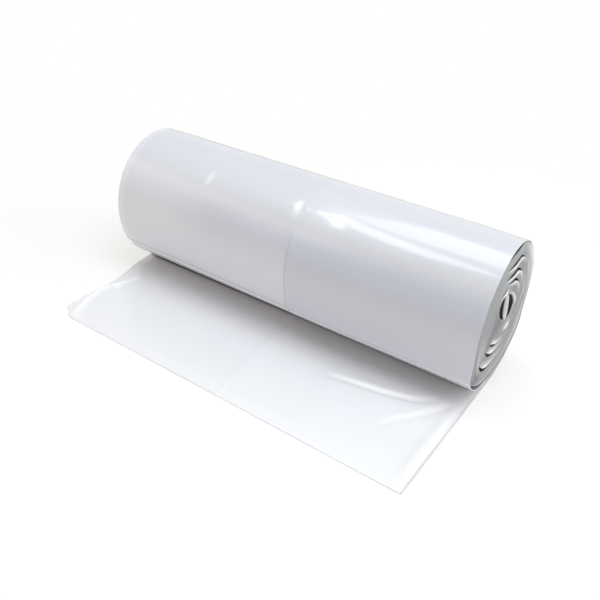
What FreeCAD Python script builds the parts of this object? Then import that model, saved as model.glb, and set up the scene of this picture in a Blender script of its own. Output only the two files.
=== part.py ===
import FreeCAD, Part
import math
import os

# A coreless roll of plastic bags lying on its side, with its loose end drawn out flat in front of it.
# The bags are one long web of folded film, wound on itself. X runs along the roll, -Y is the side that
# the loose end lies on, and Z is up from the surface that the roll rests on. The origin is on that
# surface, under the middle of the roll. All sizes are in millimetres.

# The web
WEB_WIDTH = 305.0           # length of the roll, which is the folded width of the bags
WEB_THICKNESS = 1.0         # the folded plies of one bag, as in the last turn and the loose end
FOLD_OFFSET = 10.5          # the bags' lengthwise fold, from the middle of the roll towards +X
FOLD_STEP = 0.3             # the plies that end at the fold, so that the web is thinner on its +X side

# The winding
TURNS = 10                  # turns from the hollow to the loose end
TURN_THICKNESS = 3.0        # a turn inside the roll, where several layers of the web press together
CLOSE_GAP = 0.4             # air between two turns that lie close
LOOSE_EVERY = 2             # counted from outside, each turn of this number lies slack over the next
TOP_SLACK = 1.4             # extra air under a slack turn at the top of the roll
BOTTOM_SLACK = 1.75         # and over it at the bottom
GAP_DEPTH = 16.0            # the turns stand apart this far in from each end, and press together further in
HOLLOW_WIDTH = 30.0         # the hollow that the winding leaves where a core would be
HOLLOW_HEIGHT = 24.0
INNER_FOLD_GAP = 1.5        # from the crest of the fold that the web starts with to the turn over it
INNER_LEAN = 4.0            # the first turn's top leans this far to +Y, and its bottom to -Y
FLAT_SPOT = 28.0            # width of the flat that the roll's weight presses on it

# The loose end
TAIL_REACH = 128.0          # from under the middle of the roll to the middle of the cut edge
CUT_SLANT = 5.0             # the cut edge reaches this much further at +X than at -X
DRAWN_IN = 11.0             # the side edge at -X is drawn in by this much,
DRAWN_IN_FROM = 20.0        # on the stretch between these two distances
DRAWN_IN_TO = 74.0          # from under the middle of the roll
CORNER_CUT_X = 14.0         # the corner between that edge and the cut edge is turned under
CORNER_CUT_Y = 8.0

INNER, OUTER = 0, 1             # the web's two faces
PITCH = TURN_THICKNESS + CLOSE_GAP
QUARTERS = 4 * TURNS            # the winding is counted in quarter turns, from a bottom to a bottom
CUTTER_MARGIN = CLOSE_GAP / 2   # cutters pass the web's faces by this much, and stay off the next turn
TAIL_STOCK = TAIL_REACH + CUT_SLANT     # reach of the loose end before its edge is cut


def at(y, z):
    """A point of the roll's section, on the plane of its -X end."""
    return FreeCAD.Vector(-WEB_WIDTH / 2, y, z)


def line(start, end):
    return Part.LineSegment(start, end).toShape()


def arc(centre, start, end):
    """The short arc about a centre."""
    half_way = (start - centre + end - centre).normalize() * start.distanceToPoint(centre)
    return Part.Arc(start, centre + half_way, end).toShape()


def quarter(start, corner, end):
    """A quarter of an oval in two tangent arcs, which leaves start towards the corner and meets end from it."""
    middle = start + end - corner
    long_end, short_end = sorted((start, end), key=lambda point: -point.distanceToPoint(middle))
    along, across = long_end - middle, short_end - middle
    half_length, half_width = along.Length, across.Length
    diagonal = math.hypot(half_length, half_width)
    tight = diagonal * (diagonal - half_length + half_width) / (2 * half_length)
    wide = diagonal * (diagonal + half_length - half_width) / (2 * half_width)
    tight_centre = long_end - along * (tight / half_length)
    wide_centre = short_end - across * (wide / half_width)
    joint = tight_centre + (along * (half_width / half_length)
                            + across * (half_length / half_width)).normalize() * tight
    arcs = [arc(tight_centre, long_end, joint), arc(wide_centre, joint, short_end)]
    return arcs if long_end is start else arcs[::-1]


def run_edges(marks):
    """Edges through marks: each is a point and the corner that the curve to it bends round, if any."""
    edges = []
    for (start, _), (end, corner) in zip(marks, marks[1:]):
        edges += quarter(start, corner, end) if corner else [line(start, end)]
    return edges


def strip(first, second, length):
    """The solid between two runs of marks that go the same way, drawn out along the roll."""
    outline = run_edges(first) + [line(first[-1][0], second[-1][0])]
    outline += run_edges(second)[::-1] + [line(second[0][0], first[0][0])]
    return Part.Face(Part.Wire(outline)).extrude(FreeCAD.Vector(length, 0, 0))


def slack_turns(station):
    """How many slack turns the winding has laid by this quarter mark."""
    return sum(1 for turn in range(1, station // 4 + 1) if (TURNS - 1 - turn) % LOOSE_EVERY == 0)


def side_reach(station):
    return HOLLOW_WIDTH / 2 + PITCH * station / 4


def top_reach(station):
    return HOLLOW_HEIGHT / 2 + PITCH * station / 4 + TOP_SLACK * slack_turns(station)


def bottom_reach(station):
    return HOLLOW_HEIGHT / 2 + PITCH * station / 4 + BOTTOM_SLACK * slack_turns(station)


def thickness(station):
    return WEB_THICKNESS if station > QUARTERS - 4 else TURN_THICKNESS


def hollow_level():
    """Height of the hollow's middle, which puts the underside of the last turn on the floor."""
    return bottom_reach(QUARTERS) + thickness(QUARTERS)


def side_level(station):
    """Height at which a turn is widest: half-way between its top and its bottom."""
    start = station - station % 4
    return hollow_level() + (top_reach(start) - bottom_reach(start)) / 2


def lean(station):
    """Sideways shift of a turn's top and bottom, which the outermost turn has lost."""
    return INNER_LEAN * (1 - station / QUARTERS)


def mark_points(station, face, offset=0):
    """Where one face of the web, or a line this far outside it, passes a quarter mark.

    The marks of each turn are its bottom, its -Y side, its top and its +Y side. A bottom has two
    points, the ends of its flat.
    """
    depth = face * thickness(station) + offset
    if station % 4 == 0:
        flat = FLAT_SPOT / 2 * station / QUARTERS
        low = hollow_level() - bottom_reach(station) - depth
        return [at(flat - lean(station), low), at(-flat - lean(station), low)]
    if station % 4 == 2:
        return [at(lean(station), hollow_level() + top_reach(station) + depth)]
    outwards = -1 if station % 4 == 1 else 1
    return [at(outwards * (side_reach(station) + depth), side_level(station))]


def flat(station, face):
    return [(point, None) for point in mark_points(station, face)]


def winding(first, last, face, offset=0):
    """Marks of one face of the web from the end of one quarter mark to the start of another."""
    points = mark_points(first, face, offset)
    marks = [(points[-1], None)]
    for station in range(first + 1, last + 1):
        start = points[-1]
        points = mark_points(station, face, offset)
        leaves_level = station % 2 == 1
        corner = at(points[0].y, start.z) if leaves_level else at(start.y, points[0].z)
        marks.append((points[0], corner))
        if len(points) == 2 and station < last:
            marks.append((points[1], None))
    return marks


def first_fold(face):
    """The web's first stretch: an upright fold in the hollow, and a round bend into the first side."""
    upright = TURN_THICKNESS * (face - 0.5)
    side = mark_points(1, face)[0]
    crest = hollow_level() + top_reach(2) - INNER_FOLD_GAP
    bend = (side_reach(1) - TURN_THICKNESS / 2) / 2
    low = side.z - bend - TURN_THICKNESS * face
    middle = bend - side_reach(1)
    return [(at(upright, crest), None), (at(upright, side.z), None), (at(middle, low), at(upright, low)),
            (side, at(side.y, low))]


def make_body():
    """The wound roll without its hollow and gaps, and the loose end that leaves from under it."""
    upper = flat(QUARTERS, INNER)[1:]
    lower = winding(QUARTERS - 4, QUARTERS, OUTER)
    for run in (upper, lower):
        run.append((at(-TAIL_STOCK, run[-1][0].z), None))
    return strip(lower, upper, WEB_WIDTH)


def make_hollow():
    return strip(first_fold(INNER) + winding(1, 4, INNER)[1:], first_fold(OUTER)[:3], WEB_WIDTH)


def make_gap():
    """The air between the turns at one end: one long spiral, from the hollow to the loose end."""
    inside = first_fold(OUTER)[2:] + winding(1, QUARTERS - 4, OUTER)[1:] + flat(QUARTERS - 4, OUTER)[1:]
    outside = flat(4, INNER)[:1] + winding(4, QUARTERS, INNER) + flat(QUARTERS, INNER)[1:]
    return strip(inside, outside, GAP_DEPTH)


def open_turns(body):
    """Opens the hollow right through, and the gap between the turns at both ends."""
    near_gap, far_gap = make_gap(), make_gap()
    near_gap.translate(FreeCAD.Vector(WEB_WIDTH - GAP_DEPTH, 0, 0))
    return body.cut(make_hollow()).cut(far_gap).cut(near_gap)


def on_floor(x, y):
    """A point just below the surface that the roll rests on, where cutters start."""
    return FreeCAD.Vector(x, y, -CUTTER_MARGIN)


def trim_loose_end(web):
    """Cuts the loose end to its outline: its side edge drawn in, its corner turned under, its slanting end."""
    side = -WEB_WIDTH / 2
    drawn = side + DRAWN_IN
    end_at_side = -TAIL_REACH + CUT_SLANT / 2
    end_far = -TAIL_REACH - CUT_SLANT / 2
    half_way = -(DRAWN_IN_FROM + DRAWN_IN_TO) / 2
    draw = Part.BezierCurve()
    draw.setPoles([on_floor(side, -DRAWN_IN_FROM), on_floor(side, half_way),
                   on_floor(drawn, half_way), on_floor(drawn, -DRAWN_IN_TO)])
    beyond = -TAIL_STOCK - CUT_SLANT
    corners = [on_floor(drawn, -DRAWN_IN_TO), on_floor(drawn, end_at_side + CORNER_CUT_Y),
               on_floor(drawn + CORNER_CUT_X, end_at_side), on_floor(-side, end_far),
               on_floor(-side + DRAWN_IN, end_far), on_floor(-side + DRAWN_IN, beyond),
               on_floor(side - DRAWN_IN, beyond), on_floor(side - DRAWN_IN, -DRAWN_IN_FROM),
               on_floor(side, -DRAWN_IN_FROM)]
    outline = [draw.toShape()] + [line(start, end) for start, end in zip(corners, corners[1:])]
    height = WEB_THICKNESS + 2 * CUTTER_MARGIN
    return web.cut(Part.Face(Part.Wire(outline)).extrude(FreeCAD.Vector(0, 0, height)))


def step_at_fold(web):
    """Takes the plies that end at the lengthwise fold off the web's +X side, on the roll and the loose end."""
    thinner = WEB_WIDTH / 2 - FOLD_OFFSET
    on_roll = strip(winding(QUARTERS - 4, QUARTERS, OUTER, -FOLD_STEP),
                    winding(QUARTERS - 4, QUARTERS, OUTER, CUTTER_MARGIN), thinner)
    on_loose_end = Part.makeBox(thinner, TAIL_STOCK - FLAT_SPOT / 2, FOLD_STEP + CUTTER_MARGIN,
                                at(-TAIL_STOCK, WEB_THICKNESS - FOLD_STEP))
    for cutter in (on_roll, on_loose_end):
        cutter.translate(FreeCAD.Vector(WEB_WIDTH / 2 + FOLD_OFFSET, 0, 0))
        web = web.cut(cutter)
    return web


def make_bag_roll():
    return step_at_fold(trim_loose_end(open_turns(make_body())))


def main():
    os.makedirs("parts", exist_ok=True)
    make_bag_roll().exportStep("parts/bag_roll.step")


main()
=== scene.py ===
import math

import bpy
import numpy as np
from bpy.props import FloatProperty, FloatVectorProperty, IntProperty, PointerProperty
from mathutils import Matrix, Vector, noise


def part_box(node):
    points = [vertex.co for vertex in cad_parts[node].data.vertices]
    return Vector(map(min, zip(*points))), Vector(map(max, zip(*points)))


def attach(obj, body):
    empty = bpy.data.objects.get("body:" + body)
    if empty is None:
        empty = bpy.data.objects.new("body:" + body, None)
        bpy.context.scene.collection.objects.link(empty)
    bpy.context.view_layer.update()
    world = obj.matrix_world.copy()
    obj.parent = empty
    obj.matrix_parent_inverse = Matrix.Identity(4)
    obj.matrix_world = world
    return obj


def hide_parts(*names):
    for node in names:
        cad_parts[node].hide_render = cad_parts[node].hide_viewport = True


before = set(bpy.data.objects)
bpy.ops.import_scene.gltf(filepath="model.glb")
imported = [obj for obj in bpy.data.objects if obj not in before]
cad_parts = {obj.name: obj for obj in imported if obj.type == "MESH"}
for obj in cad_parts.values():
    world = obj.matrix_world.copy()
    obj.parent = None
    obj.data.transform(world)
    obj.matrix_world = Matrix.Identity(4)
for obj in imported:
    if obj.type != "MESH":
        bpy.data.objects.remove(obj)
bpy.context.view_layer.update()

bl_info = {
    "name": "Roll of plastic bags",
    "version": (1, 0, 0),
    "blender": (4, 5, 0),
    "location": "3D View > Sidebar > Bag Roll",
    "description": "Winds a coreless roll of folded film bags and draws out its loose end",
    "category": "Add Mesh",
}

# X runs along the roll, -Y is the side that the loose end lies on, Z is up. Sections are (y, z) points.
# A turn is followed by its angle, from its bottom to its front at -Y, its top and its back.
MM = 0.001
LOW, HIGH = (Vector(corner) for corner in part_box("bag_roll"))

# The slack places, where a turn stands off the turn inside it: the turn, the angle of the middle of the slack
# and how far it runs to lower and to higher angles in degrees, its depth in mm, and how far out the turns
# inside it stand, which also sets how much painted light their edges get, and how many turns that reaches. A
# depth of 0 is a place where the turns only stand out a little and get painted light on their edges.
SLACK_PLACES = (
    (75, 177, 36, 18, 4.0, 0.0, 3.0), (54, 175, 26, 60, 1.2, 1.0, 6.0), (36, 180, 38, 80, 1.8, 1.0, 6.0),
    (23, 192, 38, 80, 1.7, 0.8, 5.0), (5, 235, 90, 80, 0.0, 0.9, 4.0), (15, 146, 30, 26, 0.0, 1.0, 9.0),
    (22, -29, 26, 26, 1.4, 1.0, 9.0), (33, 18, 36, 24, 2.0, 1.0, 5.5), (42, 20, 42, 30, 2.3, 1.0, 6.0),
    (56, 24, 46, 32, 2.4, 0.9, 7.0), (75, 4, 56, 60, 2.2, 0.3, 4.0), (75, 232, 54, 70, 0.0, 0.8, 13.0),
    (58, 238, 50, 52, 0.9, 0.5, 4.0), (45, 262, 60, 50, 0.8, 0.5, 4.0), (62, 55, 45, 40, 0.0, 0.3, 22.0),
    (75, 300, 50, 55, 0.0, 0.4, 14.0),
)

# The section's reach above and below its middle level, in mm, for the turns inside and for the last turn.
# The last turn ends further out than it starts, by LAST_GROWTH, and by BOTTOM_GROWTH at its bottom.
TURNS_TOP, TURNS_BOTTOM = 52.1, 50.3
LAST_TOP, LAST_BOTTOM = 52.65, 51.0
LAST_GROWTH, BOTTOM_GROWTH = 3.4, 3.55
INSIDE_LAST = 0.5    # how far the turns inside stay within the last turn's front and back, in mm
FLAT_END = 8         # how sharply the film turns up at the ends of the flat spot

# The flattened turns in the hollow, in mm: half the first one's width and height, how much each turn adds to
# them, and how far the web sways sideways; then how much painted light their edges get.
CORE_WIDTH, CORE_HEIGHT = 0.3, 10.0
CORE_WIDER, CORE_HIGHER = 0.42, 0.13
CORE_SWAY = 0.3
CORE_PAINTED_LIGHT = 0.6
LOW_CUPPING = 0.2    # share of the cupping that is left below the middle level

# Short creases round the roll, on the last turn: place along it in mm, middle and half span in degrees, and
# width and depth in mm. A depth below 0 stands out; those pressed in get a painted highlight.
ROUND_CREASES = (
    (-73, 144, 11, 2.2, 0.42), (7, 144, 12, 2.6, 0.42), (40, 144, 8, 7.0, 0.42), (21, 146, 8, 3.0, -0.15),
)

# The long crease at the foot of the roll's front, where the film is pressed in and stands out just above: its
# angle, and the angles from it at which the mesh has rows of its own, in degrees.
FOOT = 51.0
FOOT_ROWS = (-4, -2.6, -1.6, -0.8, 0, 0.8, 1.6, 2.6, 4, 6)
ROUND_ROWS, OUT_ROWS = 127, 122    # the mesh's even rows round the roll, and its rows along the loose end

# The loose end's creases, as (x, y) points in mm: the two long ones towards the side at +X, each with how
# high it is and how strong the painted highlight along its flank is, the ridge along the drawn-in side, and
# the other side's rolled edge and the painted highlight along it.
LONG_CREASES = (
    (1.0, 1.0, ((60, -66), (87, -62), (103, -59), (120, -54), (128, -49), (134, -42))),
    (0.6, 0.4, ((112, -92), (119, -81), (128, -69), (138, -54), (147, -38))),
)
SIDE_RIDGE = ((-127, -50), (-132, -66), (-136, -76), (-137, -86), (-135, -100), (-130, -116), (-126, -127))
ROLLED_EDGE = ((146.4, -28), (146.4, -134))
ROLLED_PAINTED_HIGHLIGHT = ((148.6, -28), (148.6, -134))

FOLD_STRAYS = ((14, 0), (64, -4.5), (125, 4.5))    # places in front, and how far the fold strays there, in mm
CORNER_CLIP = 8.0    # how much shorter the loose end is at the corner at -X, which is turned under, in mm
THIN_CUT = 0.35      # thickness of the web at its cut edge, as a share of the whole


# ---------------------------------------------------------------- sizes and finishes

def length(name, description, millimetres):
    return FloatProperty(name=name, description=description, default=millimetres * MM, unit="LENGTH",
                         precision=4)


def shade(name, description, value):
    return FloatVectorProperty(name=name, description=description, default=value, size=3, subtype="COLOR")


def factor(name, description, value):
    return FloatProperty(name=name, description=description, default=value, min=0, max=1, subtype="FACTOR")


def power(name, lamp, watts):
    return FloatProperty(name=name, description=f"Power of the {lamp}", default=watts, min=0, unit="POWER")


class WindingSizes(bpy.types.PropertyGroup):
    """The turns inside the roll."""
    turns: IntProperty(name="Turns", description="Turns of the web round the hollow", default=76, min=2)
    core_turns: IntProperty(name="Flattened turns", description="Turns pressed flat in the hollow", default=9)
    steps: IntProperty(name="Steps", description="Points along each turn", default=80, min=24)
    ply: length("Web thickness", "Thickness of the folded web where it is wound tight", 0.4)
    rounding: length("Edge rounding", "Radius of the folds along the web's edges", 0.15)
    core_lean: FloatProperty(name="Core lean", description="Lean of the flattened turns, top to the front",
                             default=math.radians(17), subtype="ANGLE")
    inset: length("Inset", "How far the turns stop short of the roll's ends", 0.5)
    cupping: length("Cupping", "How far a turn stands out at +X where the next one is slack", 1.4)
    wander: length("Wander", "How far the web strays sideways as it is wound", 0.8)
    hollow_width: length("Hollow width", "Width of the hollow", 30.0)
    hollow_height: length("Hollow height", "Height of the hollow", 20.0)
    hollow_shift: length("Hollow shift", "From the roll's middle to the hollow's, towards +Y", 2.4)
    hollow_level: length("Hollow level", "Height of the hollow's middle", 60.2)
    hollow_tilt: length("Hollow tilt", "How much higher the hollow's front is than its middle", 6.4)
    seed: IntProperty(name="Seed", description="Start of the random numbers", default=4)


class WebSizes(bpy.types.PropertyGroup):
    """The last turn and the loose end."""
    thickness: length("Web thickness", "Thickness of the folded web where it lies loose", 0.7)
    level: length("Middle level", "Height at which the last turn is widest", 54.9)
    front: length("Front reach", "From the middle of the roll to the last turn's front", 46.95)
    back: length("Back reach", "From the middle of the roll to the last turn's back", 48.65)
    flat_spot: length("Flat spot", "Width of the flat that the roll's weight presses on it", 15.0)
    fold_offset: length("Fold offset", "From the middle of the roll to the bags' lengthwise fold", 10.5)
    fold_step: length("Fold step", "Height of the raised line along that fold", 0.3)
    cut_slant: length("Cut slant", "How much further the cut edge reaches at +X", 5.0)
    drawn_in: length("Drawn in", "How far the side edge at -X is drawn in", 11.0)


class FilmLook(bpy.types.PropertyGroup):
    """The film's colours and gloss, and the colours of its painted light and painted shade."""
    # The film's colour is mixed from thin to thick: thick is the real colour where many layers lie together,
    # and the same mix also carries painted light and painted shade.
    thick: shade("Thick film", "Colour where more plies lie together", (0.475, 0.49, 0.57))
    # Painted highlights on the creases, the ridge, the rolled edge, the roll's foot and its short creases go
    # towards the thin colour.
    thin: shade("Thin film", "Colour where the film is single, or creased white", (0.965, 0.955, 0.975))
    edge: shade("Web edges", "Colour of the turns' edges where they are pressed", (0.315, 0.322, 0.345))
    # Painted light: this white stands in for the light caught by the edges of turns that stand out at slack
    # places.
    bend: shade("Slack bends", "Colour of the turns' edges where they are slack", (0.925, 0.935, 0.965))
    # Painted shade: this near-black stands in for the shade far in between the turns, and in the folds and
    # the wedge under the roll.
    painted_shade_colour: shade("Deep in the roll", "Colour of the turns away from the ends", (0.033, 0.03, 0.027))
    roughness: factor("Roughness", "Roughness of the film", 0.2)
    edge_roughness: factor("Edge roughness", "Roughness of the turns' edges", 0.45)


class LightLevels(bpy.types.PropertyGroup):
    """The lights round the roll."""
    sky: FloatProperty(name="Sky", description="Strength of the light from all round", default=0.48)
    ceiling: power("Ceiling panel", "panel overhead", 9.6)
    wide: power("Wide panel", "wide panel beside it", 2.6)
    front: power("Front panel", "panel in front", 1.2)
    low: power("Low panel", "low panel in front", 1.55)
    end: power("End panel", "panel beyond the near end", 6.5)
    strip: power("Strip light", "narrow strip light", 2.1)


# ---------------------------------------------------------------- shapes in numbers

def smooth(values, start, end):
    """Rises smoothly from 0 at start to 1 at end."""
    share = np.clip((values - start) / (end - start), 0, 1)
    return share * share * (3 - 2 * share)


def bump(values):
    """A rounded bump, 1 at 0 and 0 beyond -1 and 1."""
    return np.cos(np.clip(values, -1, 1) * math.pi / 2) ** 2


def oval(angle, front, back, up, down, flat=0.0):
    """Points (y, z) round an oval about its middle, with a flat of that width at its bottom."""
    sine, cosine = np.sin(angle), np.cos(angle)
    side = np.where(sine > 0, front, back)
    under = flat / 2 * (cosine > 0)
    return (-(side - under) * sine - under * np.tanh(FLAT_END * sine) / math.tanh(FLAT_END),
            -np.where(cosine > 0, down, up) * cosine)


def sag(points):
    """Lets the soft roll sag: its front is rounder at the far end and in the middle than at the near end,
    where its foot is fuller and its back is drawn in near the top."""
    x, y, z = points.T
    along = x / HIGH.x
    rounder = 0.032 + 0.022 * bump((along - 0.1) / 0.8) - 0.062 * smooth(along, 0.35, 1.05)
    free = smooth(z, 5 * MM, 32 * MM) * (y < 0)
    fuller = 0.06 * (1 + along) * bump((z - 21 * MM) / (22 * MM)) * smooth(z, 2 * MM, 7 * MM)
    drawn_in = 0.05 * smooth(along, 0.8, 1) * bump((z - 98 * MM) / (26 * MM)) * (y > 0)
    points[:, 1] = y * (1 + rounder * free + fuller - drawn_in)
    return points


def turn_points(turn, angle, sizes, web):
    """Points (y, z) of the winding, and how far it bends outwards there, which also sets the painted light on
    its edges: turn counts on from the hollow, and may have a fraction."""
    half_width, half_height = sizes.hollow_width / 2, sizes.hollow_height / 2
    y_in, z_in = oval(angle, half_width, half_width, half_height, half_height)
    y_in, z_in = y_in + sizes.hollow_shift, z_in + sizes.hollow_level + sizes.hollow_tilt * np.sin(angle)
    y_out, z_out = oval(angle, web.front - INSIDE_LAST * MM, web.back - INSIDE_LAST * MM, TURNS_TOP * MM,
                        TURNS_BOTTOM * MM, web.flat_spot)
    z_out = z_out + web.level
    span = np.hypot(y_out - y_in, z_out - z_in)
    slack, passed, bend = np.zeros((3, len(turn)))
    for place, middle, lower, higher, depth, white, bent in SLACK_PLACES:
        off = (np.degrees(angle) - middle + 180) % 360 - 180
        reach = bump(off / np.where(off < 0, lower, higher))
        inside = (place + (middle / 360 % 1) - 0.5) - turn
        slack += depth * MM * reach
        passed += depth * MM * reach * (inside < 0)
        # How far the turns stand out, which also sets how much painted light their edges get.
        bend = np.maximum(bend, white * reach * np.where(inside >= 0, np.exp(-(inside / bent) ** 2), 0))
    share = (turn / sizes.turns * (span - slack) + passed) / span
    return y_in + share * (y_out - y_in), z_in + share * (z_out - z_in), bend


def winding_path(sizes, web):
    """The wound web's middle line, from the flattened turns in the hollow outwards, and how it bends out,
    which also sets the painted light on its edges.
    """
    turn = np.arange(0, sizes.turns + 1e-9, 1 / sizes.steps)
    y, z, bend = turn_points(turn, turn * math.tau, sizes, web)
    x = sizes.cupping * bend * np.where(z > web.level, 1, LOW_CUPPING)
    core = np.arange(-sizes.core_turns, 0, 1 / (sizes.steps // 2))
    grown = core + sizes.core_turns
    half_width, half_height = (CORE_WIDTH + CORE_WIDER * grown) * MM, (CORE_HEIGHT + CORE_HIGHER * grown) * MM
    y_core, z_core = oval(core * math.tau, half_width, half_width, half_height, half_height)
    y = np.concatenate((y_core - z_core * math.tan(sizes.core_lean) + sizes.hollow_shift, y))
    z = np.concatenate((z_core + sizes.hollow_level, z))
    x = np.concatenate((CORE_SWAY * MM * np.sin(grown * 2), x))
    return np.column_stack((x, y, z)), np.concatenate((np.full_like(core, CORE_PAINTED_LIGHT), bend))


# ---------------------------------------------------------------- nodes

def feed(tree, node, values):
    """Fills a node's inputs: values are (socket, number or the socket that feeds it)."""
    for socket, value in values:
        if isinstance(value, bpy.types.NodeSocket):
            tree.links.new(value, node.inputs[socket])
        else:
            node.inputs[socket].default_value = value


def add_node(tree, kind, values=(), **settings):
    """Adds a node: settings are its properties, and values fill its inputs."""
    node = tree.nodes.new(kind)
    for name, setting in settings.items():
        setattr(node, name, setting)
    feed(tree, node, values)
    return node


def calculated(tree, operation, *values):
    """The result of a Math node: each value is a number or the socket that gives one."""
    return add_node(tree, "ShaderNodeMath", enumerate(values), operation=operation).outputs[0]


def wound_web_tree(material):
    """Geometry Nodes tree that sweeps a folded web along the path that it was wound on."""
    tree = bpy.data.node_groups.new("Wound web", "GeometryNodeTree")
    sockets = tree.interface
    sockets.new_socket("Path", in_out="INPUT", socket_type="NodeSocketObject")
    for name in ("Web Width", "Web Thickness", "Edge Rounding", "Wander"):
        sockets.new_socket(name, in_out="INPUT", socket_type="NodeSocketFloat").subtype = "DISTANCE"
    sockets.new_socket("Seed", in_out="INPUT", socket_type="NodeSocketInt")
    sockets.new_socket("Web", in_out="OUTPUT", socket_type="NodeSocketGeometry")
    given = add_node(tree, "NodeGroupInput").outputs
    chain = add_node(tree, "GeometryNodeObjectInfo", [("Object", given["Path"])]).outputs["Geometry"]
    path = add_node(tree, "GeometryNodeMeshToCurve", [("Mesh", chain)]).outputs["Curve"]
    place = add_node(tree, "GeometryNodeInputPosition").outputs[0]
    sideways = add_node(tree, "ShaderNodeSeparateXYZ", [("Vector", place)]).outputs["X"]
    wound = add_node(tree, "GeometryNodeSplineParameter").outputs["Length"]
    stray = add_node(tree, "ShaderNodeTexNoise",
                     [("W", calculated(tree, "ADD", wound, given["Seed"])), ("Scale", 7.0), ("Detail", 3.0)],
                     noise_dimensions="1D")
    centred = calculated(tree, "SUBTRACT", stray.outputs[0], 0.5)
    offset = add_node(tree, "ShaderNodeCombineXYZ",
                      [("X", calculated(tree, "MULTIPLY", centred, given["Wander"]))])
    strayed = add_node(tree, "GeometryNodeSetPosition", [("Geometry", path), ("Offset", offset.outputs[0])])
    middle = add_node(tree, "GeometryNodeStoreNamedAttribute",
                      [("Geometry", strayed.outputs[0]), ("Name", "middle"), ("Value", sideways)],
                      data_type="FLOAT")
    level = add_node(tree, "GeometryNodeSetCurveNormal",
                     [("Curve", middle.outputs[0]), ("Normal", (1, 0, 0))], mode="FREE")
    section = add_node(tree, "GeometryNodeCurvePrimitiveQuadrilateral",
                       [("Width", given["Web Width"]), ("Height", given["Web Thickness"])])
    rounded = add_node(tree, "GeometryNodeFilletCurve",
                       [("Curve", section.outputs[0]), ("Radius", given["Edge Rounding"]), ("Count", 1)],
                       mode="POLY")
    swept = add_node(tree, "GeometryNodeCurveToMesh",
                     [("Curve", level.outputs[0]), ("Profile Curve", rounded.outputs[0]),
                      ("Fill Caps", True)])
    real = add_node(tree, "GeometryNodeRealizeInstances", [("Geometry", swept.outputs[0])])
    finished = add_node(tree, "GeometryNodeSetMaterial",
                        [("Geometry", real.outputs[0]), ("Material", material)])
    add_node(tree, "NodeGroupOutput", [("Web", finished.outputs[0])])
    return tree


def unevenness(tree, place, scale, detail, distortion=0.0):
    """A noise of 0 to 1 at a place: its scale is one number, or three where it is stretched along an axis."""
    if isinstance(scale, tuple):
        place = add_node(tree, "ShaderNodeMapping", [("Vector", place), ("Scale", scale)]).outputs[0]
        scale = 1.0
    return add_node(tree, "ShaderNodeTexNoise", [("Vector", place), ("Scale", scale), ("Detail", detail),
                                                 ("Distortion", distortion)]).outputs[0]


def film_surface_group():
    """Shader group for the faint unevenness of blown film: cloudiness, drag lines and small wrinkles."""
    group = bpy.data.node_groups.new("Film surface", "ShaderNodeTree")
    sockets = group.interface
    sockets.new_socket("Place", in_out="INPUT", socket_type="NodeSocketVector")
    sockets.new_socket("Color", in_out="INPUT", socket_type="NodeSocketColor")
    for name, value in (("Cloudiness", 0.04), ("Roughness", 0.2), ("Drag Lines", 0.5), ("Wrinkles", 0.5)):
        sockets.new_socket(name, in_out="INPUT", socket_type="NodeSocketFloat").default_value = value
    sockets.new_socket("Color", in_out="OUTPUT", socket_type="NodeSocketColor")
    sockets.new_socket("Roughness", in_out="OUTPUT", socket_type="NodeSocketFloat")
    sockets.new_socket("Height", in_out="OUTPUT", socket_type="NodeSocketFloat")
    given = add_node(group, "NodeGroupInput").outputs
    cloud = unevenness(group, given["Place"], 26.0, 4.0)
    fleck = unevenness(group, given["Place"], 900.0, 2.0)
    drag = unevenness(group, given["Place"], (240, 9, 9), 3.0)
    wrinkle = unevenness(group, given["Place"], (14, 60, 60), 2.0, 0.4)
    fade = calculated(group, "MULTIPLY", calculated(group, "SUBTRACT", cloud, 0.5), given["Cloudiness"])
    tone = calculated(group, "ADD", fade, 1.0)
    tinted = add_node(group, "ShaderNodeVectorMath", [(0, given["Color"]), ("Scale", tone)],
                      operation="SCALE")
    grain = calculated(group, "MULTIPLY_ADD", fleck, 0.1, given["Roughness"])
    lines = calculated(group, "MULTIPLY", drag, given["Drag Lines"])
    height = calculated(group, "MULTIPLY_ADD", wrinkle, given["Wrinkles"], lines)
    add_node(group, "NodeGroupOutput",
             [("Color", tinted.outputs[0]), ("Roughness", grain), ("Height", height)])
    return group


def mixed_color(tree, share, first, second):
    """Colour that goes from first to second: each is a colour or the socket that gives one."""
    mix = add_node(tree, "ShaderNodeMix", [(0, share)], data_type="RGBA")
    ends = [place for place, socket in enumerate(mix.inputs) if socket.type == "RGBA"]
    colors = [value if isinstance(value, bpy.types.NodeSocket) else (*value, 1) for value in (first, second)]
    feed(tree, mix, zip(ends, colors))
    return next(socket for socket in mix.outputs if socket.type == "RGBA")


def attribute(tree, name):
    return add_node(tree, "ShaderNodeAttribute", attribute_name=name).outputs["Fac"]


def film_shader(tree, color, roughness, coat, drag_lines, wrinkles):
    """Ends a film's node tree: its colour made uneven, and its gloss and fine relief."""
    place = add_node(tree, "ShaderNodeTexCoord").outputs["Object"]
    film = add_node(tree, "ShaderNodeGroup",
                    node_tree=bpy.data.node_groups.get("Film surface") or film_surface_group())
    feed(tree, film, [("Place", place), ("Color", color), ("Roughness", roughness),
                      ("Drag Lines", drag_lines), ("Wrinkles", wrinkles)])
    relief = add_node(tree, "ShaderNodeBump", [("Height", film.outputs["Height"]), ("Strength", 0.5),
                                               ("Distance", 0.6 * MM)])
    shader = add_node(tree, "ShaderNodeBsdfPrincipled",
                      [("Base Color", film.outputs["Color"]), ("Roughness", film.outputs["Roughness"]),
                       ("Normal", relief.outputs[0]), ("IOR", 1.5), ("Coat Weight", coat),
                       ("Coat Roughness", 0.09)])
    add_node(tree, "ShaderNodeOutputMaterial", [("Surface", shader.outputs[0])])


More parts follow.
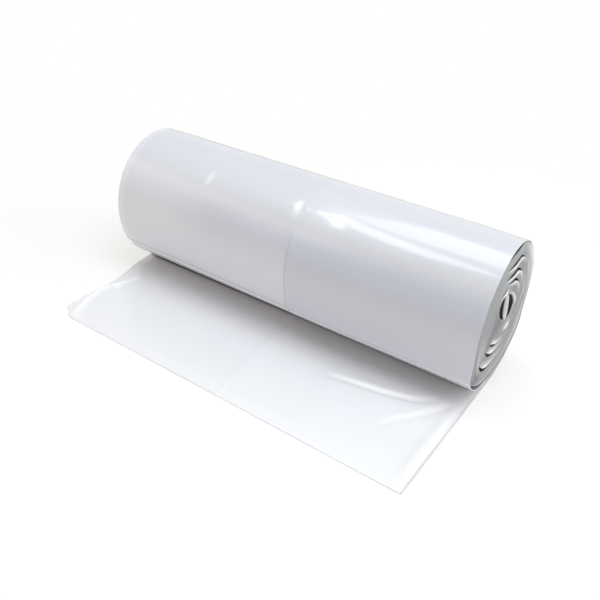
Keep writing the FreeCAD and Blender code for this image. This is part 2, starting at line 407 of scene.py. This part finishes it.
def new_material(name):
    material = bpy.data.materials.new(name)
    material.use_nodes = True
    material.node_tree.nodes.clear()
    return material


def web_material(look):
    """Glossy white film, less clear where more layers lie together, with painted light and painted shade in
    its colour.
    """
    material = new_material("film_web")
    tree = material.node_tree
    # Real layer colour, with painted light and painted shade mixed in.
    color = mixed_color(tree, attribute(tree, "plies_and_painted_light"), look.thin, look.thick)
    # Painted shade along the fold, the foot's crease, the side edge at +X and the wedge under the roll.
    color = mixed_color(tree, attribute(tree, "painted_shade"), color, look.painted_shade_colour)
    film_shader(tree, color, look.roughness, coat=0.5, drag_lines=0.35, wrinkles=0.8)
    return material


def turns_material(look, half_width):
    """The turns at the roll's ends: grey where pressed together, painted light at slack places, and painted
    shade further in. The painted shade is full from 0.5 mm in from the web's edge, and from 0.7 mm further in
    where a turn stands out fully."""
    material = new_material("film_turns")
    tree = material.node_tree
    centre = add_node(tree, "ShaderNodeTexCoord").outputs["Object"]
    place = add_node(tree, "ShaderNodeSeparateXYZ", [(0, centre)]).outputs["X"]
    reach = calculated(tree, "ABSOLUTE", calculated(tree, "SUBTRACT", place, attribute(tree, "middle")))
    bend = attribute(tree, "bend")
    # Painted light: where a turn stands out, the light edge colour reaches further in.
    painted_light_reach = calculated(tree, "MULTIPLY_ADD", bend, -0.7 * MM, half_width - 0.5 * MM)
    # Painted shade: away from the web's edge the colour goes over to the painted shade colour.
    depth = add_node(tree, "ShaderNodeMapRange", [("Value", reach), ("From Min", half_width - 0.1 * MM),
                                                  ("From Max", painted_light_reach)]).outputs[0]
    # Painted light on the edges of the turns that stand out, over their grey.
    edge = mixed_color(tree, bend, look.edge, look.bend)
    dull = calculated(tree, "MULTIPLY_ADD", depth, 0.9 - look.edge_roughness, look.edge_roughness)
    film_shader(tree, mixed_color(tree, depth, edge, look.painted_shade_colour), dull, coat=0, drag_lines=0.2, wrinkles=0.3)
    return material


# ---------------------------------------------------------------- pieces

def link_object(name, mesh):
    made = bpy.data.objects.new(name, mesh)
    bpy.context.scene.collection.objects.link(made)
    return made


def grow(holder, tree, values):
    """Runs a Geometry Nodes tree on an object and keeps the result as its plain mesh."""
    modifier = holder.modifiers.new(tree.name, "NODES")
    modifier.node_group = tree
    for item in tree.interface.items_tree:
        if item.in_out == "INPUT" and item.name in values:
            modifier[item.identifier] = values[item.name]
    holder.update_tag()
    depsgraph = bpy.context.evaluated_depsgraph_get()
    mesh = bpy.data.meshes.new_from_object(holder.evaluated_get(depsgraph))
    holder.modifiers.clear()
    empty = holder.data
    holder.data = mesh
    bpy.data.meshes.remove(empty)


def mesh_points(mesh):
    points = np.empty(3 * len(mesh.vertices))
    mesh.vertices.foreach_get("co", points)
    return points.reshape(-1, 3)


def set_mesh_points(mesh, points):
    mesh.vertices.foreach_set("co", points.ravel())
    mesh.update()


class BAGROLL_OT_wind_turns(bpy.types.Operator):
    """Winds the turns inside the roll, from the flattened turns in the hollow outwards"""
    bl_idname = "bagroll.wind_turns"
    bl_label = "Wind the turns"

    def execute(self, context):
        scene = context.scene
        sizes, web, look = scene.bagroll_winding, scene.bagroll_web, scene.bagroll_film
        half_width = HIGH.x - sizes.inset
        points, bend = winding_path(sizes, web)
        chain = bpy.data.meshes.new("web_path")
        chain.from_pydata(points.tolist(), [(n, n + 1) for n in range(len(points) - 1)], [])
        chain.attributes.new("bend", "FLOAT", "POINT").data.foreach_set("value", bend)
        path = link_object("web_path", chain)
        turns = link_object("wound_turns", bpy.data.meshes.new("wound_turns"))
        grow(turns, wound_web_tree(turns_material(look, half_width)), {
            "Path": path, "Web Width": 2 * half_width, "Web Thickness": sizes.ply,
            "Edge Rounding": sizes.rounding, "Wander": sizes.wander, "Seed": sizes.seed})
        bpy.data.objects.remove(path)
        turns.data.name = "wound_turns"
        set_mesh_points(turns.data, sag(mesh_points(turns.data)))
        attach(turns, "root")
        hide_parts("bag_roll")
        return {"FINISHED"}


def crease(x, y, route, width, height):
    """Height of a raised line through route points in mm: full in its middle, and running out at its ends."""
    route = np.array(route) * MM
    steps = np.hypot(*np.diff(route, axis=0).T)
    reached = np.concatenate(([0], np.cumsum(steps))) / steps.sum()
    raised = np.zeros_like(x)
    for start, end, low, high in zip(route, route[1:], reached, reached[1:]):
        way = end - start
        share = ((x - start[0]) * way[0] + (y - start[1]) * way[1]) / (way @ way)
        share = np.clip(share, 0, 1)
        off = np.hypot(x - start[0] - share * way[0], y - start[1] - share * way[1])
        run_out = np.sin(math.pi * np.clip(low + share * (high - low), 0.0, 1.0)) ** 0.7
        raised = np.maximum(raised, height * MM * run_out * np.exp(-(off / (width * MM)) ** 2))
    return raised


def columns_across(web):
    """Places across the web, from -1 to 1, and the lengthwise fold's place. They are about 2 mm apart, and
    closer at that fold and at the edges."""
    fold = web.fold_offset / HIGH.x
    near = np.array([0.2, 0.6, 1.1, 1.8]) * MM / HIGH.x
    even = np.linspace(-1, 1, 151)
    even = even[np.abs(even - fold) > near[-1]]
    return np.sort(np.concatenate((even, fold - near, fold + near, [-0.998, -0.994, 0.994, 0.998]))), fold


def angles_round():
    """Angles of the rows round the roll: evenly spaced, and closer at the crease at the front's foot."""
    near_foot = math.radians(FOOT) + np.array(FOOT_ROWS) * math.pi / 180
    even = np.linspace(0, math.tau, ROUND_ROWS)
    even = even[(even < near_foot[0] - 0.01) | (even > near_foot[-1] + 0.01)]
    return np.sort(np.concatenate((even, near_foot)))


def thinned(out):
    """Share of the web's thickness at a share of the way out on the loose end: it is thinnest at the cut."""
    return 1 - (1 - THIN_CUT) * smooth(out, 0.93, 1.0)


def loose_row(out, across, fold, web):
    """Points of a row across the loose end, at a share of the way out."""
    cut = -LOW.y - web.cut_slant / 2 + web.cut_slant / 2 * across
    clip = CORNER_CLIP * MM * smooth(across, -0.9, -1.0)
    y = -out * (cut - clip * smooth(out, 0.7, 1.0))
    drawn = web.drawn_in * smooth(-y, 14 * MM, 78 * MM)
    strays = np.interp(-y, *(np.array(FOLD_STRAYS).T * MM))
    x = -HIGH.x + drawn + (2 * HIGH.x - drawn) * (across + 1) / 2
    x += (strays - (1 - fold) / 2 * drawn) * bump(across - fold)
    return np.column_stack((x, y, np.full_like(across, web.thickness / 2 * thinned(out))))


def web_grid(web):
    """Points of the last turn and the loose end, in rows across the web, with each column's place past the
    lengthwise fold, as a share of half the width, and each row's angle in degrees."""
    across, fold = columns_across(web)
    angle = angles_round()
    share = angle / math.tau
    y, z = oval(angle, web.front + LAST_GROWTH * MM * (share - 0.25),
                web.back + LAST_GROWTH * MM * (share - 0.75),
                LAST_TOP * MM + LAST_GROWTH * MM * (share - 0.5),
                LAST_BOTTOM * MM + BOTTOM_GROWTH * MM * share, web.flat_spot)
    z = np.maximum(z + web.level, web.thickness / 2)
    rows = [np.column_stack((across * HIGH.x, np.full_like(across, row_y), np.full_like(across, row_z)))
            for row_y, row_z in zip(y, z)]
    rows += [loose_row(out, across, fold, web) for out in np.linspace(0, 1, OUT_ROWS + 1)[1:]]
    angle = np.concatenate((angle, np.full(OUT_ROWS, math.tau)))
    return np.array(rows), across - fold, np.degrees(angle)


def upper_side(line):
    """Unit vectors towards the web's upper side, along a line of it: into the roll, up from the loose end."""
    along = np.gradient(line[:, 1:], axis=0)
    up = np.column_stack((np.zeros(len(line)), along[:, 1], -along[:, 0]))
    return up / np.linalg.norm(up, axis=1)[:, None]


def shape_loose_end(points, web):
    """Raises the creases of the loose end and the folds along its edges, and gives their painted highlights.
    """
    x, y, z = points.T
    lies = smooth(-y, 20 * MM, 40 * MM) * (z < 1.5 * web.thickness)
    rise = np.zeros_like(x)
    white = np.zeros_like(x)
    for raised, painted_highlight, route in LONG_CREASES:
        swell = crease(x, y, route, width=9, height=1.7)
        groove = crease(x, y, route, width=1.8, height=1.2)
        rise += raised * (swell - groove)
        # Painted highlight along each long crease's flank, beside its groove.
        beside = [(route_x - 1.0, route_y + 3.2) for route_x, route_y in route]
        white = np.maximum(white, crease(x, y, beside, width=2.4, height=painted_highlight) / MM)
    rise += crease(x, y, SIDE_RIDGE, width=2.8, height=3.2)
    # Painted highlight along the ridge's top.
    white = np.maximum(white, crease(x, y, SIDE_RIDGE, width=2.4, height=1) / MM)
    rise += crease(x, y, ROLLED_EDGE, width=3.6, height=1.1)
    # Painted highlight along the rolled edge.
    white = np.maximum(white, crease(x, y, ROLLED_PAINTED_HIGHLIGHT, width=2.2, height=0.35) / MM)
    waves = np.array([noise.noise(Vector((a * 16, b * 26, 3.1))) for a, b in zip(x, y)])
    rise += 0.5 * MM * (waves + 0.6).clip(0, None)
    points[:, 2] = z + rise * lies
    return points, white * lies


def shape_roll(points, upper, angle):
    """Presses the last turn's slight waves, its short creases and the long one at the front's foot into it,
    and gives the painted highlights along the short ones that are pressed in."""
    x, y, z = points.T
    waves = np.array([noise.noise(Vector((a * 9, b * 22, c * 22))) + 0.5 * noise.noise(
        Vector((a * 30 + 7, b * 30, c * 30))) for a, b, c in zip(x, y, z)])
    pressed = 0.16 * MM * waves * smooth(z, 8 * MM, 25 * MM)
    white = np.zeros_like(x)
    for place, middle, half_span, width, depth in ROUND_CREASES:
        reach = bump((angle - middle) / half_span) * np.exp(-((x / MM - place) / width) ** 2)
        pressed += depth * MM * reach
        # Painted highlight along the short creases that are pressed in.
        white += 1.6 * max(depth, 0) * reach
    fade = 1 - 0.6 * smooth(x, -20 * MM, 60 * MM)
    pressed += 1.5 * MM * fade * np.exp(-((angle - FOOT) / 1.5) ** 2)
    pressed -= 0.35 * MM * np.exp(-((angle - FOOT - 5) / 2.5) ** 2)
    return points + upper * pressed[:, None], white


def raise_fold(points, upper, past_fold, folded, web):
    """Raises the lengthwise fold, and less so the half that has more layers, on the web's upper side. It
    fades out over the roll's top."""
    step = web.fold_step * (0.7 * folded + np.exp(-((past_fold + 0.7 * MM) / (0.9 * MM)) ** 2))
    lying = 0.6 * step * (points[:, 2] < 2 * MM)
    points += np.abs(upper) * (0, 0, 1) * lying[:, None]
    round_roll = step * (1 - smooth(points[:, 2], 70 * MM, 95 * MM)) * (points[:, 2] > 8 * MM)
    return points + upper * round_roll[:, None]


def film_tones(points, angle, past_fold, folded, white):
    """How thick the film looks at each point, from 0 for thin to 1 for thick, with painted light and painted
    shade mixed in, and how much painted shade darkens the folds, the side edge and the wedge under the roll."""
    x, y, z = points.T
    on_roll = smooth(z, 1.5 * MM, 8 * MM)
    lies = (1 - on_roll) * (angle > 350)
    # Painted highlight along the ridge at the roll's foot.
    foot = np.exp(-((angle - FOOT - 1) / 2.2) ** 2) * (1 - 0.6 * smooth(x, 0, 80 * MM))
    # Painted light: lifts the loose end's tone just in front of the roll, where it lies in the roll's shade.
    under = lies * (1 - smooth(-y, 20 * MM, 34 * MM))
    # Painted light and shade on the roll: lighter low down on the folded half and over the top, and a darker
    # band round the upper front that fades out towards the far end.
    low = folded * (1 - smooth(z, 62 * MM, 88 * MM))
    top = smooth(z, 70 * MM, 94 * MM)
    tight = bump((angle - 112) / 30) * smooth(x, -110 * MM, -50 * MM)
    wound = 0.5 + 0.16 * tight - 0.17 * low - 0.14 * top
    # Painted highlights from white, and painted light from foot and under, lower the share of thick film.
    plies_and_painted_light = 0.38 + 0.03 * folded + on_roll * wound * (1 - foot) - 0.38 * foot - 0.45 * white - 0.2 * under
    # Painted shade: a dark line at the fold's step, a dark line in the crease above the foot's ridge, a
    # darker strip along the side edge at +X, and the shade in the wedge under the roll's front.
    fold_painted_shadow = 0.22 * np.exp(-(past_fold / (0.6 * MM)) ** 2) * (1 - smooth(z, 66 * MM, 88 * MM)) * on_roll
    foot_painted_shade = 0.12 * np.exp(-((angle - FOOT - 5) / 2) ** 2) * (1 - smooth(x, -10 * MM, 20 * MM))
    edge_painted_shade = 0.3 * lies * smooth(x, 151.2 * MM, 152.3 * MM)
    painted_shade = 0.85 * lies * (1 - smooth(-y, 15.5 * MM, 19 * MM)) * (1 - smooth(x, 140 * MM, 149 * MM))
    return {"plies_and_painted_light": plies_and_painted_light, "painted_shade": fold_painted_shadow + foot_painted_shade + edge_painted_shade + painted_shade}


def add_thickness(piece, rows, web):
    """Gives the sheet its thickness, and thins it towards its cut edge through a vertex group."""
    full = piece.vertex_groups.new(name="full thickness")
    for number, row in enumerate(rows):
        out = max(0, number - (len(rows) - OUT_ROWS - 1)) / OUT_ROWS
        full.add(row.tolist(), (thinned(out) - THIN_CUT) / (1 - THIN_CUT), "REPLACE")
    wall = piece.modifiers.new("Web thickness", "SOLIDIFY")
    wall.thickness = web.thickness
    wall.offset = 0
    wall.vertex_group = full.name
    wall.thickness_vertex_group = THIN_CUT


class BAGROLL_OT_lay_web(bpy.types.Operator):
    """Lays the last turn round the roll, and the loose end in front of it"""
    bl_idname = "bagroll.lay_web"
    bl_label = "Lay the last turn and loose end"

    def execute(self, context):
        web, look = context.scene.bagroll_web, context.scene.bagroll_film
        grid, past_fold, row_angles = web_grid(web)
        rows, columns = grid.shape[:2]
        index = np.arange(rows * columns).reshape(rows, columns)
        faces = np.stack((index[:-1, :-1], index[1:, :-1], index[1:, 1:], index[:-1, 1:]), axis=-1)
        upper = np.repeat(upper_side(grid[:, columns // 2]), columns, axis=0)
        angle = np.repeat(row_angles, columns)
        past_fold = np.tile(past_fold * HIGH.x, rows)
        folded = 1 - smooth(past_fold, -0.6 * MM, 0.6 * MM)    # 1 where the web has more plies
        points, white = shape_loose_end(grid.reshape(-1, 3), web)
        points, painted_streak_highlights = shape_roll(points, upper, angle)
        # Painted highlights: the short creases on the roll, and a lighter band round the roll's far end.
        white += painted_streak_highlights + 0.25 * smooth(-points[:, 0], 145 * MM, 149 * MM) * (points[:, 2] > 2 * MM)
        points = sag(raise_fold(points, upper, past_fold, folded, web))
        mesh = bpy.data.meshes.new("last_turn")
        mesh.from_pydata(points.tolist(), [], faces.reshape(-1, 4).tolist())
        for name, values in film_tones(points, angle, past_fold, folded, white).items():
            mesh.attributes.new(name, "FLOAT", "POINT").data.foreach_set("value", values)
        mesh.materials.append(web_material(look))
        mesh.shade_smooth()
        piece = link_object("last_turn", mesh)
        add_thickness(piece, index, web)
        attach(piece, "root")
        return {"FINISHED"}


# ---------------------------------------------------------------- stage

def light_world(world, strength):
    """Lights the scene from all round, and is white where the camera, gloss or glass looks at it."""
    world.use_nodes = True
    tree = world.node_tree
    tree.nodes.clear()
    rays = add_node(tree, "ShaderNodeLightPath").outputs
    seen = calculated(tree, "MAXIMUM", rays["Is Camera Ray"], rays["Is Glossy Ray"])
    seen = calculated(tree, "MAXIMUM", seen, rays["Is Transmission Ray"])
    white = add_node(tree, "ShaderNodeBackground", [("Color", (1, 1, 1, 1)), ("Strength", 1.0)])
    sky = add_node(tree, "ShaderNodeBackground", [("Color", (1, 0.89, 0.70, 1)), ("Strength", strength)])
    mixed = add_node(tree, "ShaderNodeMixShader", [(0, seen), (1, sky.outputs[0]), (2, white.outputs[0])])
    add_node(tree, "ShaderNodeOutputWorld", [("Surface", mixed.outputs[0])])


def floor_material():
    """Pale paper that keeps the roll's shadow, and goes over to plain white away from it."""
    material = new_material("floor")
    tree = material.node_tree
    seen = add_node(tree, "ShaderNodeLightPath").outputs["Is Camera Ray"]
    centre = add_node(tree, "ShaderNodeTexCoord").outputs["Object"]
    away = add_node(tree, "ShaderNodeVectorMath", [(0, centre)], operation="LENGTH").outputs["Value"]
    share = add_node(tree, "ShaderNodeMapRange", [("Value", away), ("From Min", 0.2), ("From Max", 0.5),
                                                  ("To Min", 0.5), ("To Max", 1.0)],
                     interpolation_type="SMOOTHSTEP").outputs[0]
    paper = add_node(tree, "ShaderNodeBsdfDiffuse", [("Color", (0.93, 0.93, 0.93, 1))])
    glow = add_node(tree, "ShaderNodeEmission", [("Color", (1, 1, 1, 1)), ("Strength", 1.0)])
    lifted = add_node(tree, "ShaderNodeMixShader", [(0, calculated(tree, "MULTIPLY", share, seen)),
                                                    (1, paper.outputs[0]), (2, glow.outputs[0])])
    add_node(tree, "ShaderNodeOutputMaterial", [("Surface", lifted.outputs[0])])
    return material


def add_floor():
    """Adds a wide floor, just under the roll so that the two never share a plane."""
    reach = 4.0
    corners = [(-reach, -reach, 0), (reach, -reach, 0), (reach, reach, 0), (-reach, reach, 0)]
    mesh = bpy.data.meshes.new("floor")
    mesh.from_pydata(corners, [], [(0, 1, 2, 3)])
    mesh.materials.append(floor_material())
    floor = link_object("floor", mesh)
    floor.location.z = -0.2 * MM
    return floor


def add_panel(name, watts, place, towards, size, tint=(1, 1, 1)):
    """Adds a rectangular lamp that faces a point: its place, that point and its size are in metres."""
    lamp = bpy.data.lights.new(name, "AREA")
    lamp.shape = "RECTANGLE"
    lamp.size, lamp.size_y = size
    lamp.energy = watts
    lamp.color = tint
    made = link_object(name, lamp)
    made.location = place
    made.rotation_euler = (Vector(towards) - Vector(place)).to_track_quat("-Z", "Y").to_euler()
    return made


def fade_downwards(lamp):
    """Dims a panel towards its lower edge."""
    lamp.use_nodes = True
    tree = lamp.node_tree
    tree.nodes.clear()
    place = add_node(tree, "ShaderNodeNewGeometry").outputs["Parametric"]
    height = add_node(tree, "ShaderNodeSeparateXYZ", [(0, place)]).outputs["Y"]
    glow = calculated(tree, "MULTIPLY_ADD", height, 1.2, 0.4)
    light = add_node(tree, "ShaderNodeEmission", [("Strength", glow)])
    add_node(tree, "ShaderNodeOutputLight", [("Surface", light.outputs[0])])


def add_lights(levels):
    """Adds the panels round the roll: the ceiling panel and the strip make its two long highlights."""
    cool, warm = (0.80, 0.91, 1), (1, 0.97, 0.93)
    ceiling = add_panel("ceiling_panel", levels.ceiling, (0.27, -0.065, 1.15), (0.27, -0.065, 0),
                        (1.5, 0.55), cool)
    ceiling.rotation_euler.z -= math.radians(25)
    add_panel("wide_panel", levels.wide, (-0.2, 0.1, 1.2), (-0.2, 0.1, 0), (1.9, 1.3), cool)
    front = add_panel("front_panel", levels.front, (-0.8, -0.62, 0.5), (0, 0, 0.05), (0.9, 0.6), warm)
    fade_downwards(front.data)
    low = add_panel("low_panel", levels.low, (-0.4, -0.9, 0.12), (0, 0, 0.03), (1.2, 0.2), warm)
    low.visible_glossy = False
    add_panel("end_panel", levels.end, (1.2, 0.35, 0.55), (0.15, 0, 0.05), (0.8, 0.8))
    strip = add_panel("strip_light", levels.strip, (-0.345, -0.345, 1.15), (-0.345, -0.345, 0),
                      (0.2, 0.56), cool)
    strip.rotation_euler.z += math.radians(43)
    strip.visible_diffuse = False


def add_camera():
    """The camera looks down at the roll from its near end, slightly rolled."""
    azimuth, elevation, roll = (math.radians(degrees) for degrees in (32.22, 31.69, 4.015))
    ahead = Vector((-math.sin(azimuth) * math.cos(elevation), math.cos(azimuth) * math.cos(elevation),
                    -math.sin(elevation)))
    level_right = Vector((math.cos(azimuth), math.sin(azimuth), 0))
    level_up = level_right.cross(ahead)
    right = level_right * math.cos(roll) + level_up * math.sin(roll)
    up = level_up * math.cos(roll) - level_right * math.sin(roll)
    lens = bpy.data.cameras.new("camera")
    lens.sensor_width = 36
    lens.lens = 42.89
    made = link_object("camera", lens)
    turn = Matrix((right, up, -ahead)).transposed().to_4x4()
    made.matrix_world = Matrix.Translation((0.25127, -0.40817, 0.30179)) @ turn
    bpy.context.scene.camera = made


class BAGROLL_OT_set_stage(bpy.types.Operator):
    """Adds the floor, the lights and the camera"""
    bl_idname = "bagroll.set_stage"
    bl_label = "Set the stage"

    def execute(self, context):
        scene = context.scene
        scene.view_settings.view_transform = "Standard"
        scene.world = scene.world or bpy.data.worlds.new("studio")
        light_world(scene.world, scene.bagroll_lights.sky)
        floor = add_floor()
        add_lights(scene.bagroll_lights)
        add_camera()
        return {"FINISHED"}


class BAGROLL_PT_panel(bpy.types.Panel):
    """Lists the steps that make the roll"""
    bl_idname = "BAGROLL_PT_panel"
    bl_label = "Roll of plastic bags"
    bl_space_type = "VIEW_3D"
    bl_region_type = "UI"
    bl_category = "Bag Roll"

    def draw(self, context):
        for step in STEPS:
            self.layout.operator(step.bl_idname)
        for name in SETTINGS:
            box = self.layout.box()
            group = getattr(context.scene, name)
            for key in group.bl_rna.properties.keys():
                if key not in ("rna_type", "name"):
                    box.prop(group, key)


STEPS = (BAGROLL_OT_wind_turns, BAGROLL_OT_lay_web, BAGROLL_OT_set_stage)
SETTINGS = {"bagroll_winding": WindingSizes, "bagroll_web": WebSizes, "bagroll_film": FilmLook,
            "bagroll_lights": LightLevels}
CLASSES = (*SETTINGS.values(), *STEPS, BAGROLL_PT_panel)


def register():
    for kind in CLASSES:
        bpy.utils.register_class(kind)
    for name, kind in SETTINGS.items():
        setattr(bpy.types.Scene, name, PointerProperty(type=kind))


def unregister():
    for name in SETTINGS:
        delattr(bpy.types.Scene, name)
    for kind in reversed(CLASSES):
        bpy.utils.unregister_class(kind)


def main():
    register()
    bpy.ops.bagroll.wind_turns()
    bpy.ops.bagroll.lay_web()
    bpy.ops.bagroll.set_stage()


if __name__ == "__main__":
    main()
